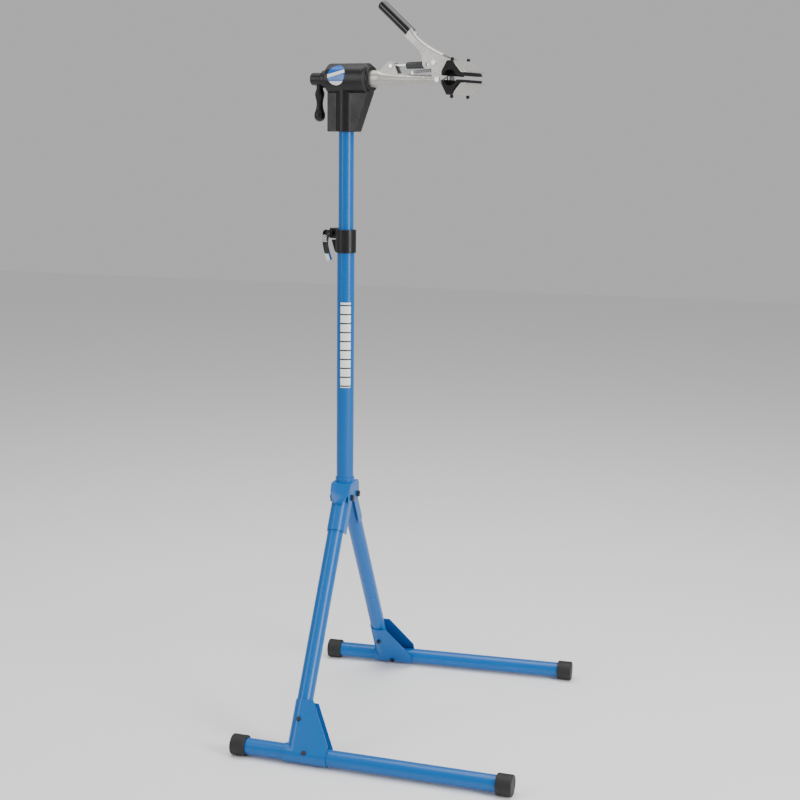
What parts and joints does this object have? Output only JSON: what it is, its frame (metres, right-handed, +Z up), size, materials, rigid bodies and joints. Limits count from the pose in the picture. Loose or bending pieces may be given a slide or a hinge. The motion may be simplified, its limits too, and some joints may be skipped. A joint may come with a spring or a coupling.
{
  "type": "bike repair stand",
  "caption": "Folding floor stand with a height-adjustable mast, a turning head and an over-centre clamp that holds a bicycle tube between rubber jaws.",
  "frame": {"origin": "on the floor, under the mast axis", "axes": "+Z up along the mast, +X along the floor tubes towards the clamp side, +Y to the left leg"},
  "size_m": [0.6206, 0.7282, 1.5916],
  "materials": {
    "blue_powder": "glossy blue powder coat",
    "black_nylon": "satin glass-filled nylon",
    "badge_blue": "plain blue label under clear film",
    "silver_steel": "satin silver coat",
    "zinc": "bright zinc",
    "black_steel": "black oxide",
    "rubber": "matte moulded rubber",
    "jaw_rubber": "matte black rubber",
    "grip_vinyl": "glossy dipped vinyl",
    "adjuster_plastic": "dark grey knurled sleeve",
    "polished": "polished aluminium",
    "bush_plastic": "natural acetal"
  },
  "bodies": {
    "stand": {"yoke": "blue_powder", "leg_pivot_bolts": "black_steel", "leg_pivot_nuts": "black_steel", "lower_mast": "blue_powder", "mast_bush": "bush_plastic", "height_collar": "black_nylon", "release_skewer": "zinc", "release_nut": "polished", "cam_washer": "black_nylon"},
    "release_lever": {"release_lever": "polished"},
    "head": {"upper_mast": "blue_powder", "mast_guide": "bush_plastic", "head_housing": "black_nylon", "head_badge": "badge_blue", "arm_bush_front": "black_nylon", "arm_bush_rear": "bush_plastic", "thrust_ring": "black_nylon"},
    "arm": {"arm_tube": "silver_steel", "arm_plug": "zinc", "draw_bolt": "zinc", "arm_clevis": "silver_steel", "clevis_rivet": "zinc", "lower_jaw": "silver_steel", "lower_jaw_cover": "jaw_rubber", "tongue_rivet": "zinc", "jaw_pivot_rivet": "zinc", "spring_anchor": "zinc", "return_spring": "zinc"},
    "lock_lever": {"lock_lever": "black_nylon"},
    "upper_jaw": {"upper_jaw": "silver_steel", "upper_jaw_cover": "jaw_rubber", "handle_rivet": "zinc", "spring_pin": "zinc"},
    "handle": {"clamp_handle": "silver_steel", "handle_grip": "grip_vinyl"},
    "link": {"link_rear_eye": "zinc", "link_front_eye": "zinc", "link_pin": "zinc"},
    "adjuster": {"adjuster_sleeve": "adjuster_plastic"},
    "left_leg": {"left_leg_channel": "blue_powder", "left_leg_tube": "blue_powder", "left_foot_bracket": "blue_powder", "left_foot_bolts": "black_steel", "left_foot_nuts": "black_steel", "left_floor_tube": "blue_powder", "left_rear_cap": "rubber", "left_front_cap": "rubber"},
    "right_leg": {"right_leg_channel": "blue_powder", "right_leg_tube": "blue_powder", "right_foot_bracket": "blue_powder", "right_foot_bolts": "black_steel", "right_foot_nuts": "black_steel", "right_floor_tube": "blue_powder", "right_rear_cap": "rubber", "right_front_cap": "rubber"}
  },
  "joints": [
    {"name": "mast_slide", "type": "slide", "parent": "stand", "child": "head", "axis": [0, 0, 1], "range_m": [-0.2, 0.08]},
    {"name": "release_lever_swing", "type": "hinge", "parent": "stand", "child": "release_lever", "pos_m": [-0.04133, -0.00558, 1.098], "axis": [-0.866, 0.5, 0], "range_deg": [0, 150]},
    {"name": "arm_turn", "type": "hinge", "parent": "head", "child": "arm", "pos_m": [0, 0, 1.43], "axis": [0.9781, -0.2079, 0], "continuous": true},
    {"name": "lock_lever_turn", "type": "hinge", "parent": "arm", "child": "lock_lever", "pos_m": [-0.07043, 0.01497, 1.43], "axis": [0.9781, -0.2079, 0], "range_deg": [-5, 180]},
    {"name": "jaw_open", "type": "hinge", "parent": "arm", "child": "upper_jaw", "pos_m": [0.22165, -0.04711, 1.4276], "axis": [-0.2079, -0.9781, 0], "range_deg": [0, 20], "deforming": ["return_spring"]},
    {"name": "handle_swing", "type": "hinge", "parent": "upper_jaw", "child": "handle", "pos_m": [0.21304, -0.04528, 1.4623], "axis": [-0.2079, -0.9781, 0], "range_deg": [-99.5, 0]},
    {"name": "link_swing", "type": "hinge", "parent": "arm", "child": "link", "pos_m": [0.11102, -0.0236, 1.4561], "axis": [-0.2079, -0.9781, 0], "range_deg": [0, 10]},
    {"name": "adjuster_turn", "type": "hinge", "parent": "link", "child": "adjuster", "pos_m": [0.11102, -0.0236, 1.4561], "axis": [0.9779, -0.2079, 0.0218], "continuous": true},
    {"name": "left_leg_fold", "type": "hinge", "parent": "stand", "child": "left_leg", "pos_m": [0, 0.0215, 0.509], "axis": [-1, 0, 0], "range_deg": [0, 29]},
    {"name": "right_leg_fold", "type": "hinge", "parent": "stand", "child": "right_leg", "pos_m": [0, -0.0215, 0.509], "axis": [1, 0, 0], "range_deg": [0, 29]}
  ],
  "couplings": [
    {"joint": "handle_swing", "follows": "jaw_open", "ratio": -4.975},
    {"joint": "link_swing", "follows": "jaw_open", "ratio": 0.5}
  ]
}
